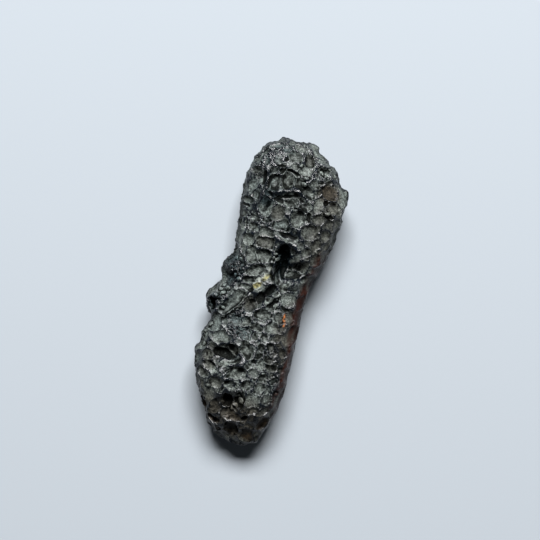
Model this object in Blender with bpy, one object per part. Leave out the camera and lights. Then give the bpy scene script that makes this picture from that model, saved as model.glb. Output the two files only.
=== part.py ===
"""An elongated tektite: one lump of natural black glass, pinched at the waist and pitted all over.

The stone lies on its back. +Y runs along it to its broad end, +X is its smooth flank, and +Z is up.
The origin is on the ground below the middle of its bounding box.
"""

import math
import random

import bmesh
import bpy
import numpy as np
from mathutils import Euler, Matrix, Vector, kdtree, noise
from mathutils.bvhtree import BVHTree

# Lengths are in millimetres until the finished stone is scaled to metres
METRES_PER_MM = 0.001

# Driving dimensions: the stone's bounding box
LENGTH = 62.7
WIDTH = 22.7
THICKNESS = 14.0

# The outline seen from above, from the narrow tip to the broad end: place along Y, then left and right edge in X
OUTLINE = (
    (-31.3, 2.0, 2.0),
    (-31.0, 0.3, 4.0),
    (-30.5, -0.8, 5.0),
    (-30.0, -1.9, 6.0),
    (-29.5, -2.7, 6.7),
    (-29.0, -3.3, 6.9),
    (-28.0, -4.3, 7.0),
    (-27.0, -4.9, 7.3),
    (-26.0, -5.3, 7.8),
    (-24.5, -6.2, 8.4),
    (-23.0, -7.1, 8.7),
    (-21.5, -8.2, 8.9),
    (-20.0, -8.9, 9.15),
    (-18.5, -9.5, 9.25),
    (-17.0, -10.0, 9.25),
    (-15.5, -10.4, 9.2),
    (-14.4, -10.75, 9.2),
    (-13.3, -10.3, 9.15),
    (-12.3, -9.9, 9.1),
    (-11.0, -10.2, 9.05),
    (-9.8, -9.9, 9.0),
    (-8.8, -9.2, 8.9),
    (-8.0, -9.1, 8.85),
    (-7.0, -9.5, 8.8),
    (-6.4, -10.5, 8.75),
    (-5.4, -11.0, 8.7),
    (-4.2, -11.3, 8.6),
    (-3.2, -11.4, 8.55),
    (-2.0, -10.9, 8.5),
    (-1.2, -10.3, 8.5),
    (-0.3, -9.4, 8.45),
    (0.6, -9.3, 8.5),
    (1.5, -9.5, 8.55),
    (2.5, -9.9, 8.7),
    (3.5, -9.8, 8.8),
    (4.5, -9.4, 9.0),
    (5.5, -8.7, 9.3),
    (6.5, -8.2, 9.6),
    (7.5, -8.2, 9.9),
    (8.5, -8.7, 10.15),
    (10.0, -8.8, 10.5),
    (12.0, -9.1, 10.85),
    (14.0, -9.3, 11.1),
    (16.0, -9.7, 11.3),
    (18.0, -9.8, 11.4),
    (20.0, -10.0, 11.45),
    (22.0, -10.15, 11.3),
    (23.0, -9.9, 11.0),
    (23.8, -9.7, 10.4),
    (24.4, -9.5, 9.2),
    (25.2, -9.3, 8.7),
    (26.2, -9.0, 8.1),
    (27.2, -8.5, 7.6),
    (28.0, -8.1, 6.2),
    (28.6, -7.6, 4.7),
    (29.3, -6.7, 3.7),
    (30.0, -5.5, 2.9),
    (30.6, -4.7, 2.6),
    (30.9, -3.0, 2.3),
    (31.1, 0.4, 0.4),
)
# The side view: place along Y, then crest and belly in Z
PROFILE = (
    (-31.3, 4.8, 4.8),
    (-31.0, 6.0, 3.2),
    (-30.3, 7.2, 2.3),
    (-29.0, 8.5, 1.5),
    (-27.0, 10.0, 0.8),
    (-24.0, 11.7, 0.4),
    (-20.0, 13.1, 0.0),
    (-15.0, 13.7, 0.0),
    (-9.0, 13.3, 0.3),
    (-3.0, 12.6, 0.7),
    (2.0, 12.4, 0.8),
    (6.0, 12.9, 0.6),
    (12.0, 13.9, 0.1),
    (18.0, 14.4, 0.0),
    (22.5, 14.3, 0.2),
    (26.0, 13.5, 0.7),
    (28.0, 12.8, 1.4),
    (29.6, 11.7, 2.5),
    (30.6, 10.2, 3.6),
    (31.1, 7.0, 7.0),
)
WIDEST_LEVEL = 0.6  # where a section is widest, as a share of its height
SQUARENESS = 2.4  # 2 is an ellipse, more is boxier
OUTLINE_BLEND = (0.3, 0.4, 0.3)  # how much of a row's shift comes from the row before, itself and the one after
OUTLINE_WINDOW = 0.6  # how far along Y the stone's width is measured round each row of the outline

# Knobs that stand out of the edges: centre, then half-sizes
KNOBS = (
    ((1.4, 30.4, 7.6), (1.7, 0.95, 2.0)),
    ((-4.3, 29.9, 7.8), (1.3, 0.95, 1.8)),
    ((10.2, 22.9, 8.6), (1.2, 1.2, 2.0)),
    ((-7.6, 2.9, 7.6), (2.6, 2.4, 4.4)),
    ((-8.1, -3.6, 7.2), (3.6, 3.0, 4.8)),
    ((-8.9, -5.0, 7.0), (2.3, 1.6, 3.6)),
    ((-8.7, -14.4, 7.8), (2.2, 2.0, 3.8)),
    ((5.9, -29.2, 5.2), (1.1, 1.0, 1.6)),
)

# Each row below: X, Y, half-length, half-width, turn from +X in degrees, depth (less than 0 stands up)
# Broad troughs and swells, with round edges
TROUGHS = (
    (2.4, 6.2, 5.0, 2.6, 97, 2.0),
    (1.9, 6.6, 4.2, 1.5, 97, 1.3),
    (0.6, 0.0, 2.4, 1.5, 55, 0.7),
    (-0.8, -1.6, 3.6, 1.4, 48, 0.7),
    (-5.9, -3.8, 4.8, 1.6, 54, 0.7),
    (4.9, 5.2, 3.6, 2.4, 10, 1.2),
    (1.6, 12.3, 2.8, 1.2, -4, 0.7),
    (-0.2, 18.9, 4.6, 1.7, 4, 0.65),
    (3.2, 21.2, 2.6, 1.5, -12, 0.5),
    (-1.6, 22.2, 4.4, 2.4, 6, 0.8),
    (7.6, 21.6, 4.0, 3.2, 8, 0.8),
    (2.0, 28.0, 3.4, 1.9, 104, 0.8),
    (-5.0, -13.5, 4.2, 1.9, 0, 1.4),
    (-1.0, -23.0, 3.4, 2.8, 60, 1.4),
    (1.2, -28.6, 3.2, 2.0, 85, 0.8),
    (-10.0, -5.0, 2.2, 1.7, 80, 0.8),
    (-2.6, -0.6, 3.0, 0.8, 50, -0.4),
    (-4.9, -4.3, 4.6, 0.5, 55, -0.4),
    (1.7, -1.4, 2.8, 0.8, 58, -0.5),
    (0.5, 4.6, 2.8, 0.7, 95, -0.5),
    (5.2, 3.1, 3.4, 1.2, 14, -0.6),
    (-5.2, 18.0, 3.6, 1.6, 85, -0.5),
    (-5.5, 22.0, 2.8, 0.9, 98, -0.5),
    (-1.0, 20.3, 4.4, 1.0, 10, -0.4),
    (2.6, 17.1, 2.2, 0.8, 0, -0.4),
    (-4.5, -17.6, 4.4, 1.2, -12, -0.4),
    (-0.5, -14.8, 3.6, 1.2, 60, -0.4),
)
# Cups with sharp rims
UPPER_CUPS = (
    (-0.8, 29.2, 1.5, 0.9, -10, 0.7),
    (-1.2, 27.3, 1.75, 1.15, -15, 1.0),
    (-5.0, 28.7, 1.5, 0.7, 14, 0.5),
    (-3.3, 28.3, 1.1, 0.9, 0, 0.5),
    (-7.3, 26.6, 1.2, 0.7, 20, 0.5),
    (-8.2, 25.2, 1.0, 0.8, 60, 0.5),
    (-6.4, 24.8, 0.9, 0.8, 0, 0.4),
    (1.9, 27.6, 1.9, 0.9, 100, 0.7),
    (3.7, 28.2, 1.5, 0.8, 140, 0.4),
    (4.9, 25.9, 1.5, 1.1, 0, 1.0),
    (7.4, 26.0, 1.4, 0.75, 105, 0.5),
    (-4.2, 25.6, 1.0, 0.7, 0, 0.4),
    (-0.7, 25.3, 0.9, 0.7, 0, 0.4),
    (-4.2, 23.7, 0.9, 0.8, 0, 0.6),
    (-2.6, 23.9, 0.95, 0.75, 50, 0.7),
    (-3.9, 21.2, 1.75, 1.25, 87, 0.9),
    (-1.3, 22.3, 1.7, 1.4, 80, 1.0),
    (1.0, 22.6, 1.3, 1.1, 60, 0.9),
    (3.2, 21.1, 2.0, 1.1, -8, 0.6),
    (4.2, 23.0, 1.1, 0.9, 30, 0.7),
    (-2.0, 18.1, 1.0, 0.7, 0, 0.5),
    (0.3, 18.2, 1.5, 1.1, 20, 0.5),
    (3.4, 18.3, 1.4, 1.0, 10, 0.6),
    (7.6, 22.3, 2.5, 1.7, 8, 0.7),
    (9.1, 19.4, 1.9, 1.3, 6, 0.9),
    (5.8, 19.3, 2.2, 1.05, 86, 0.6),
    (-8.0, 22.8, 1.3, 0.8, 10, 0.7),
    (-8.1, 19.8, 1.8, 1.3, 30, 0.6),
    (-7.0, 18.0, 1.0, 0.8, 0, 0.5),
    (-8.3, 16.7, 1.3, 0.75, 8, 0.6),
    (2.5, 15.4, 1.9, 1.6, 75, 1.1),
    (-1.6, 15.5, 1.75, 1.3, 72, 0.8),
    (6.4, 16.3, 1.3, 1.0, 10, 0.6),
    (8.9, 16.2, 1.1, 0.9, 0, 0.6),
    (10.3, 16.4, 0.8, 1.4, 0, 0.4),
    (5.4, 13.5, 1.65, 1.5, 20, 0.8),
    (8.8, 13.7, 1.4, 1.2, 80, 0.6),
    (7.2, 11.3, 1.3, 0.9, 80, 0.6),
    (9.4, 11.5, 0.9, 0.9, 0, 0.4),
    (-5.8, 13.6, 1.0, 0.9, 0, 0.5),
    (-8.2, 13.6, 1.0, 0.9, 0, 0.5),
    (-3.4, 13.8, 1.1, 0.8, 20, 0.5),
)
WAIST_CUPS = (
    (1.6, 11.2, 2.6, 0.8, -8, 0.4),
    (-2.8, 11.3, 1.7, 1.0, -6, 0.8),
    (-5.8, 11.9, 0.9, 0.8, 0, 0.6),
    (-6.1, 9.1, 1.5, 1.25, 15, 0.8),
    (-2.6, 9.5, 1.95, 1.2, 3, 0.9),
    (-4.6, 6.5, 1.9, 1.2, 105, 0.9),
    (-2.2, 6.9, 1.6, 1.35, 20, 1.1),
    (1.8, 7.6, 2.4, 1.0, 93, 0.6),
    (1.6, 3.4, 1.5, 0.8, 85, 0.5),
    (4.3, 8.2, 1.3, 0.9, 70, 0.3),
    (6.2, 6.6, 1.5, 1.2, 60, 0.7),
    (7.9, 8.7, 1.4, 0.95, 85, 0.6),
    (5.6, 9.4, 1.2, 0.9, 40, 0.5),
    (4.6, 4.5, 1.9, 0.7, 12, 0.5),
    (-3.1, 3.7, 2.2, 1.0, 30, 0.9),
    (-3.7, 1.6, 1.5, 0.85, 22, 0.7),
    (-4.0, -0.1, 1.6, 0.65, 8, 0.5),
    (-6.0, 2.6, 0.8, 0.7, 0, 0.4),
    (0.8, 0.4, 1.5, 0.9, 55, 0.45),
    (-0.6, -1.3, 1.5, 0.9, 55, 0.5),
    (-2.3, -3.2, 1.5, 1.1, 48, 0.5),
    (-5.9, -3.7, 4.1, 1.15, 54, 0.6),
    (-6.6, -2.2, 1.1, 0.8, 50, 0.5),
    (4.8, -0.1, 1.9, 1.6, 20, 0.6),
    (0.7, -4.4, 2.05, 1.0, 4, 0.9),
    (4.2, -4.3, 1.1, 1.0, 0, 0.6),
    (-2.0, -6.3, 1.15, 0.95, -25, 0.6),
    (0.4, -7.1, 1.6, 0.85, -5, 0.7),
    (3.6, -6.5, 1.4, 1.1, -15, 0.6),
    (-10.1, -5.0, 1.5, 1.1, 85, 1.4),
)
LOWER_CUPS = (
    (5.1, -8.1, 0.95, 0.8, 0, 0.6),
    (2.5, -8.6, 0.85, 0.75, 0, 0.5),
    (0.6, -8.9, 0.75, 0.75, 0, 0.5),
    (2.1, -10.8, 0.85, 0.8, 0, 0.6),
    (4.2, -10.3, 0.9, 0.8, 0, 0.5),
    (6.6, -10.8, 1.0, 0.9, 40, 0.5),
    (4.1, -12.4, 0.9, 0.8, 0, 0.6),
    (2.2, -12.5, 0.8, 0.7, 0, 0.6),
    (5.4, -14.1, 1.1, 0.9, 0, 0.7),
    (7.3, -14.2, 0.9, 0.8, 0, 0.5),
    (-6.0, -10.9, 2.0, 1.35, 6, 0.8),
    (-9.0, -11.2, 0.8, 1.3, 0, 0.4),
    (-0.4, -11.8, 2.0, 1.1, 118, 1.0),
    (-3.0, -12.5, 1.4, 0.9, 0, 0.7),
    (-5.0, -13.6, 2.7, 0.75, -6, 0.9),
    (-3.4, -15.1, 2.6, 0.95, 22, 0.6),
    (-8.0, -14.7, 1.15, 1.1, 0, 1.1),
    (-6.3, -16.9, 2.1, 0.95, -27, 0.9),
    (-8.2, -18.3, 1.5, 0.9, -22, 0.8),
    (-1.0, -16.8, 2.1, 1.1, 12, 0.9),
    (2.2, -15.8, 1.4, 1.0, 10, 0.5),
    (4.4, -16.5, 1.0, 0.95, 0, 0.7),
    (6.6, -16.4, 1.0, 0.8, 40, 0.5),
    (1.4, -18.8, 1.2, 0.9, 82, 0.7),
    (4.1, -18.7, 1.4, 1.0, 80, 0.6),
    (6.1, -20.4, 1.2, 0.9, 60, 0.5),
    (-4.7, -19.8, 1.5, 1.15, 5, 0.8),
    (-7.1, -21.0, 1.2, 0.7, 110, 0.5),
    (-1.6, -22.8, 1.7, 1.1, 83, 1.0),
    (1.0, -22.0, 1.7, 1.15, 92, 0.9),
    (-3.6, -24.4, 1.7, 0.95, 92, 0.9),
    (-5.8, -24.3, 1.2, 0.85, 120, 0.8),
    (0.1, -25.4, 2.3, 1.3, 2, 0.8),
    (3.0, -25.4, 0.85, 0.8, 0, 0.7),
    (4.1, -23.4, 1.3, 1.0, 30, 0.5),
    (6.6, -25.5, 1.9, 1.1, 78, 0.8),
    (6.3, -22.6, 1.2, 0.9, 60, 0.5),
    (-3.0, -27.1, 1.7, 0.95, -22, 1.0),
    (-1.7, -28.8, 0.9, 0.7, 0, 0.5),
    (0.9, -28.5, 2.0, 1.4, 92, 0.7),
    (4.0, -28.6, 2.0, 1.55, 76, 0.9),
)

# Cups scattered over the rest of the stone, broadest first
SCATTER_SEED = 11
SCATTER_RADII = (2.2, 1.9, 1.6, 1.35, 1.15, 0.95)
SCATTER_TRIES = 700  # for each radius
SCATTER_OVERLAP = 0.76  # least distance of two centres, as a share of their radii together
PLACED_OVERLAP = 0.8  # the same against a cup that has its own place
SQUARER = (1.8, 2.6)  # how square a scattered cup's outline is: 2 is an ellipse
CUP_DEPTH_SHARE = (0.34, 0.52)  # a scattered cup's depth over its radius
FLANK_DEPTH_SHARE = 0.55  # how much of that is left on the smooth flank
FLANK_FACING = 0.72  # the flank's normals have at least this X
FLANK_END = 10.0  # and it ends here along Y
BACK_DEPTH_SHARE = 0.7  # how much is left on the back, which the ground has worn
EDGE_CALM = 0.35  # how much shallower the cups are round the sides

# The outlines of the cups wander by this much, over this distance
WANDER = ((0.45, 2.6), (0.16, 0.9))

ROUND_EDGE = 1.8  # the power that rounds a trough's edges
CUP_WALL = 0.7  # below 1 a cup has a flat floor and steep walls

FORM_VOXEL = 0.3
FORM_SMOOTHING = 6
RIM_SMOOTHING = 2
WORN_DEPTH = 0.5  # how much of the back's high spots is worn flat
MOST_TRIANGLES = 9500

GLASS_COLOUR = (0.014, 0.015, 0.016, 1.0)
GLASS_ROUGHNESS = 0.42

STATIONS, LEFTS, RIGHTS = np.array(OUTLINE).T
HEIGHT_STATIONS, CRESTS, BELLIES = np.array(PROFILE).T
MID_STATION = (STATIONS[0] + STATIONS[-1]) / 2
HALF_SPAN = (STATIONS[-1] - STATIONS[0]) / 2


def clear_scene():
    for obj in list(bpy.data.objects):
        bpy.data.objects.remove(obj)


def latitude_of(station):
    return np.arcsin(np.clip((station - MID_STATION) / HALF_SPAN, -1, 1))


def on_form(latitude, angle):
    """The point of the unpitted form at a latitude along Y and an angle round Y."""
    left = np.interp(latitude, latitude_of(STATIONS), LEFTS)
    right = np.interp(latitude, latitude_of(STATIONS), RIGHTS)
    crest = np.interp(latitude, latitude_of(HEIGHT_STATIONS), CRESTS)
    belly = np.interp(latitude, latitude_of(HEIGHT_STATIONS), BELLIES)
    level = belly + WIDEST_LEVEL * (crest - belly)
    across, upward = np.cos(angle), np.sin(angle)
    power = 2 / SQUARENESS
    x = (left + right) / 2 + (right - left) / 2 * np.sign(across) * np.abs(across) ** power
    height = np.where(upward > 0, crest - level, level - belly)
    z = level + height * np.sign(upward) * np.abs(upward) ** power
    return np.stack([x, MID_STATION + HALF_SPAN * np.sin(latitude), z], axis=-1)


def finished(obj):
    """The object's mesh with its modifiers applied. The object goes."""
    graph = bpy.context.evaluated_depsgraph_get()
    mesh = bpy.data.meshes.new_from_object(obj.evaluated_get(graph), depsgraph=graph)
    bpy.data.objects.remove(obj)
    return mesh


def in_scene(name, mesh):
    obj = bpy.data.objects.new(name, mesh)
    bpy.context.scene.collection.objects.link(obj)
    return obj


def make_form():
    """The unpitted lump: a sphere moved onto the sections, with the knobs on its edges, in one even mesh."""
    bm = bmesh.new()
    bmesh.ops.create_icosphere(bm, subdivisions=6, radius=1)
    ball = np.array([v.co for v in bm.verts])
    spots = on_form(np.arcsin(np.clip(ball[:, 1], -1, 1)), np.arctan2(ball[:, 2], ball[:, 0]))
    for v, spot in zip(bm.verts, spots):
        v.co = spot
    for centre, half_sizes in KNOBS:
        place = Matrix.LocRotScale(Vector(centre), Euler((0, 0, 0)), Vector(half_sizes))
        bmesh.ops.create_icosphere(bm, subdivisions=4, radius=1, matrix=place)
    mesh = bpy.data.meshes.new("form")
    bm.to_mesh(mesh)
    bm.free()
    form = in_scene("form", mesh)
    remesh = form.modifiers.new("one_skin", "REMESH")
    remesh.mode = "VOXEL"
    remesh.voxel_size = FORM_VOXEL
    smooth = form.modifiers.new("soft_joins", "SMOOTH")
    smooth.iterations = FORM_SMOOTHING
    return finished(form)


class Cup:
    """A bowl in the skin: its centre, the directions of its length and width, its sizes and how square it is."""

    def __init__(self, centre, normal, heading, half_length, half_width, depth, square=2.2):
        self.centre = centre
        self.along = (heading - heading.dot(normal) * normal).normalized()
        self.across = normal.cross(self.along)
        self.half_length, self.half_width, self.depth = half_length, half_width, depth
        self.square = square


class Skin:
    """The mesh being carved, with its points on the unpitted form in a tree."""

    def __init__(self, mesh):
        self.mesh = mesh
        coordinates = [v.co for v in mesh.vertices]
        self.form = BVHTree.FromPolygons(coordinates, [p.vertices for p in mesh.polygons])
        self.co = np.array(coordinates)
        points = [p + sum((by * noise.noise_vector(p / span) for by, span in WANDER), Vector()) for p in coordinates]
        self.tree = kdtree.KDTree(len(points))
        for i, p in enumerate(points):
            self.tree.insert(p, i)
        self.tree.balance()
        self.points = np.array(points)

    def normals(self):
        normals = np.empty(3 * len(self.co))
        self.mesh.vertex_normals.foreach_get("vector", normals)
        return normals.reshape(-1, 3)

    def above(self, x, y):
        """The form's point and normal seen from above at X and Y, or at its edge if there is none."""
        point, normal, _, _ = self.form.ray_cast(Vector((x, y, 50)), Vector((0, 0, -1)))
        if point is None:
            point, normal, _, _ = self.form.find_nearest(Vector((x, y, 6)))
        return point, normal

    def placed(self, rows):
        cups = []
        for x, y, half_length, half_width, turn, depth in rows:
            centre, normal = self.above(x, y)
            heading = Vector((math.cos(math.radians(turn)), math.sin(math.radians(turn)), 0))
            cups.append(Cup(centre, normal, heading, half_length, half_width, depth))
        return cups

    def scattered(self, first):
        """Cups over the whole stone that leave the first ones clear, broadest first."""
        draw = random.Random(SCATTER_SEED)
        centres = np.array([c.centre for c in first])
        reach = np.array([PLACED_OVERLAP * (c.half_length + c.half_width) / 2 for c in first])
        share = np.full(len(first), PLACED_OVERLAP)
        cups = []
        for radius in SCATTER_RADII:
            latitudes = np.arcsin([draw.uniform(-0.999, 0.999) for _ in range(SCATTER_TRIES)])
            spots = on_form(latitudes, np.array([draw.uniform(-math.pi, math.pi) for _ in range(SCATTER_TRIES)]))
            for spot in spots:
                stretch, deep = draw.uniform(0.8, 1.25), draw.uniform(*CUP_DEPTH_SHARE)
                heading = Vector([draw.gauss(0, 1) for _ in range(3)])
                square = draw.uniform(*SQUARER)
                centre, normal, _, _ = self.form.find_nearest(Vector(spot))
                apart = np.linalg.norm(centres - np.array(centre), axis=1)
                if (apart < reach + share * radius).any():
                    continue
                if normal.x > FLANK_FACING and centre.y < FLANK_END:
                    deep *= FLANK_DEPTH_SHARE
                if normal.z < 0:
                    deep *= 1 + (1 - BACK_DEPTH_SHARE) * normal.z
                deep *= 1 - EDGE_CALM * (1 - abs(normal.z))
                cups.append(Cup(centre, normal, heading, radius * stretch, radius / stretch, radius * deep, square))
                centres = np.vstack([centres, np.array(centre)])
                reach = np.append(reach, SCATTER_OVERLAP * radius)
                share = np.append(share, SCATTER_OVERLAP)
        return cups

    def bowl(self, cup):
        """The points in a cup, and for each how much of the cup's depth it has."""
        found = self.tree.find_range(cup.centre, 1.5 * max(cup.half_length, cup.half_width))
        near = np.array([i for _, i, _ in found], dtype=int)
        local = self.points[near] - np.array(cup.centre)
        along = np.abs(local @ np.array(cup.along) / cup.half_length)
        across = np.abs(local @ np.array(cup.across) / cup.half_width)
        return near, np.clip(1 - along**cup.square - across**cup.square, 0, None)

    def lower(self, depths):
        """Moves every point inward along its normal."""
        self.co = self.co - depths[:, None] * self.normals()
        self.mesh.vertices.foreach_set("co", self.co.astype(np.float32).ravel())
        self.mesh.update()

    def carve_troughs(self, troughs):
        """Troughs and swells add up, and their edges are round."""
        depths = np.zeros(len(self.co))
        for trough in troughs:
            near, share = self.bowl(trough)
            depths[near] += trough.depth * share**ROUND_EDGE
        self.lower(depths)

    def carve_cups(self, cups):
        """The deepest cup over each point counts, which leaves sharp rims."""
        depths = np.zeros(len(self.co))
        for cup in cups:
            near, share = self.bowl(cup)
            depths[near] = np.maximum(depths[near], cup.depth * share**CUP_WALL)
        self.lower(depths)

    def match_outline(self):
        """Brings the width back to the outline's along the whole stone."""
        x, y = self.co[:, 0], self.co[:, 1]
        widest = [x[np.abs(y - station) < OUTLINE_WINDOW] for station in STATIONS[1:-1]]
        left_now = np.array([band.min() for band in widest])
        right_now = np.array([band.max() for band in widest])
        nearby = [STATIONS[1:-1] + step for step in np.linspace(-OUTLINE_WINDOW, OUTLINE_WINDOW, 5)]
        left_aim = np.min([np.interp(places, STATIONS, LEFTS) for places in nearby], axis=0)
        right_aim = np.max([np.interp(places, STATIONS, RIGHTS) for places in nearby], axis=0)
        left = np.interp(y, STATIONS[1:-1], left_now)
        right = np.interp(y, STATIONS[1:-1], right_now)
        share = np.clip((x - left) / (right - left), 0, 1)
        even = np.array(OUTLINE_BLEND)
        left_step = np.convolve(np.pad(left_aim - left_now, 1, "edge"), even, "valid")
        right_step = np.convolve(np.pad(right_aim - right_now, 1, "edge"), even, "valid")
        self.co[:, 0] += (1 - share) * np.interp(y, STATIONS[1:-1], left_step)
        self.co[:, 0] += share * np.interp(y, STATIONS[1:-1], right_step)
        self.mesh.vertices.foreach_set("co", self.co.astype(np.float32).ravel())
        self.mesh.update()


def wear_and_size(mesh):
    """Wears the back's high spots flat, and sizes the stone to its box, resting on the ground."""
    points = np.array([v.co for v in mesh.vertices])
    ground = points[:, 2].min() + WORN_DEPTH
    points[:, 2] = np.maximum(points[:, 2], ground)
    low, high = points.min(axis=0), points.max(axis=0)
    origin = np.array([(low[0] + high[0]) / 2, (low[1] + high[1]) / 2, ground])
    points = (points - origin) * np.array([WIDTH, LENGTH, THICKNESS]) / (high - low)
    mesh.vertices.foreach_set("co", points.astype(np.float32).ravel())
    mesh.update()


def thinned(mesh):
    """The mesh with its rims a little worn and as few triangles as its hollows need."""
    dense = in_scene("dense", mesh)
    worn = dense.modifiers.new("worn_rims", "SMOOTH")
    worn.iterations = RIM_SMOOTHING
    decimate = dense.modifiers.new("fewer_faces", "DECIMATE")
    decimate.ratio = MOST_TRIANGLES / (2 * len(mesh.polygons))
    return finished(dense)


def glass():
    material = bpy.data.materials.new("black_glass")
    material.use_nodes = True
    shader = material.node_tree.nodes["Principled BSDF"]
    shader.inputs["Base Color"].default_value = GLASS_COLOUR
    shader.inputs["Roughness"].default_value = GLASS_ROUGHNESS
    shader.inputs["Metallic"].default_value = 0.0
    return material


def make_tektite():
    mesh = make_form()
    skin = Skin(mesh)
    skin.carve_troughs(skin.placed(TROUGHS))
    cups = skin.placed(UPPER_CUPS + WAIST_CUPS + LOWER_CUPS)
    skin.carve_cups(cups + skin.scattered(cups))
    skin.match_outline()
    mesh = thinned(mesh)
    wear_and_size(mesh)
    mesh.transform(Matrix.Scale(METRES_PER_MM, 4))
    mesh.name = "tektite"
    mesh.materials.append(glass())
    in_scene("tektite", mesh)


clear_scene()
make_tektite()
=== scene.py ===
"""An elongated tektite of satin black glass, pitted all over, lying on a pale studio floor.

Sizes in the tables are millimetres. +Y runs along the stone to its broad end and +Z is up.
"""

import math
import random

import bmesh
import bpy
import numpy as np
from bpy.props import FloatProperty, FloatVectorProperty, IntProperty, PointerProperty
from bpy.types import Operator, Panel, PropertyGroup
from mathutils import Euler, Matrix, Vector, kdtree, noise
from mathutils.bvhtree import BVHTree


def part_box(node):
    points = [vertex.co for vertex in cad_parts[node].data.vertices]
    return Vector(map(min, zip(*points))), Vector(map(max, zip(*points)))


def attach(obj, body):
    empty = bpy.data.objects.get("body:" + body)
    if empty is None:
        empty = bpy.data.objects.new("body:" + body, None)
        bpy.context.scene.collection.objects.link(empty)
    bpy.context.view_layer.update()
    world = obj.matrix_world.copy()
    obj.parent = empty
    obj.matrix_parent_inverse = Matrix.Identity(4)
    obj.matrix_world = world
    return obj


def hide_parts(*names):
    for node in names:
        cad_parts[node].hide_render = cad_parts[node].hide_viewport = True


bl_info = {
    "name": "Tektite",
    "version": (1, 0, 0),
    "blender": (4, 5, 0),
    "location": "3D View > Sidebar > Tektite",
    "description": "A pitted tektite of natural black glass on a studio floor",
    "category": "Object",
}

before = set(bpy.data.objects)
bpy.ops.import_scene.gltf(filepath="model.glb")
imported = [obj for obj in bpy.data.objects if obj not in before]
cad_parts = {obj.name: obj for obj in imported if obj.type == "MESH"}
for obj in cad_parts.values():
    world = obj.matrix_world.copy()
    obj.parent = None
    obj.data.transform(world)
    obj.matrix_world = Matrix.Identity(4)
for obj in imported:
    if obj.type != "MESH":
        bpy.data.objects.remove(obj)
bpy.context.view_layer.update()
LOW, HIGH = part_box("tektite")

MM = 0.001


# Colours


def linear(hex_colour, alpha=1.0):
    """An sRGB hex colour as linear values."""
    channels = [int(hex_colour[i : i + 2], 16) / 255 for i in (1, 3, 5)]
    return (*(c / 12.92 if c <= 0.04045 else ((c + 0.055) / 1.055) ** 2.4 for c in channels), alpha)


# The unpitted form

# The outline seen from above, from the narrow tip to the broad end: place along Y, then left and right edge in X
OUTLINE = (
    (-31.3, 2.0, 2.0),
    (-31.0, 0.3, 4.0),
    (-30.5, -0.8, 5.0),
    (-30.0, -1.9, 6.0),
    (-29.5, -2.7, 6.7),
    (-29.0, -3.3, 6.9),
    (-28.0, -4.3, 7.0),
    (-27.0, -4.9, 7.3),
    (-26.0, -5.3, 7.8),
    (-24.5, -6.2, 8.4),
    (-23.0, -7.1, 8.7),
    (-21.5, -8.2, 8.9),
    (-20.0, -8.9, 9.15),
    (-18.5, -9.5, 9.25),
    (-17.0, -10.0, 9.25),
    (-15.5, -10.4, 9.2),
    (-14.4, -10.75, 9.2),
    (-13.3, -10.3, 9.15),
    (-12.3, -9.9, 9.1),
    (-11.0, -10.2, 9.05),
    (-9.8, -9.9, 9.0),
    (-8.8, -9.2, 8.9),
    (-8.0, -9.1, 8.85),
    (-7.0, -9.5, 8.8),
    (-6.4, -10.5, 8.75),
    (-5.4, -11.0, 8.7),
    (-4.2, -11.3, 8.6),
    (-3.2, -11.4, 8.55),
    (-2.0, -10.9, 8.5),
    (-1.2, -10.3, 8.5),
    (-0.3, -9.4, 8.45),
    (0.6, -9.3, 8.5),
    (1.5, -9.5, 8.55),
    (2.5, -9.9, 8.7),
    (3.5, -9.8, 8.8),
    (4.5, -9.4, 9.0),
    (5.5, -8.7, 9.3),
    (6.5, -8.2, 9.6),
    (7.5, -8.2, 9.9),
    (8.5, -8.7, 10.15),
    (10.0, -8.8, 10.5),
    (12.0, -9.1, 10.85),
    (14.0, -9.3, 11.1),
    (16.0, -9.7, 11.3),
    (18.0, -9.8, 11.4),
    (20.0, -10.0, 11.45),
    (22.0, -10.15, 11.3),
    (23.0, -9.9, 11.0),
    (23.8, -9.7, 10.4),
    (24.4, -9.5, 9.2),
    (25.2, -9.3, 8.7),
    (26.2, -9.0, 8.1),
    (27.2, -8.5, 7.6),
    (28.0, -8.1, 6.2),
    (28.6, -7.6, 4.7),
    (29.3, -6.7, 3.7),
    (30.0, -5.5, 2.9),
    (30.6, -4.7, 2.6),
    (30.9, -3.0, 2.3),
    (31.1, 0.4, 0.4),
)
# The side view: place along Y, then crest and belly in Z
PROFILE = (
    (-31.3, 4.8, 4.8),
    (-31.0, 6.0, 3.2),
    (-30.3, 7.2, 2.3),
    (-29.0, 8.5, 1.5),
    (-27.0, 10.0, 0.8),
    (-24.0, 11.7, 0.4),
    (-20.0, 13.1, 0.0),
    (-15.0, 13.7, 0.0),
    (-9.0, 13.3, 0.3),
    (-3.0, 12.6, 0.7),
    (2.0, 12.4, 0.8),
    (6.0, 12.9, 0.6),
    (12.0, 13.9, 0.1),
    (18.0, 14.4, 0.0),
    (22.5, 14.3, 0.2),
    (26.0, 13.5, 0.7),
    (28.0, 12.8, 1.4),
    (29.6, 11.7, 2.5),
    (30.6, 10.2, 3.6),
    (31.1, 7.0, 7.0),
)
WIDEST_LEVEL = 0.6  # where a section is widest, as a share of its height
SQUARENESS = 2.4  # 2 is an ellipse, more is boxier
OUTLINE_BLEND = (0.3, 0.4, 0.3)  # how much of a row's shift comes from the row before, itself and the one after
OUTLINE_WINDOW = 0.6  # how far along Y the stone's width is measured round each row of the outline

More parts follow.
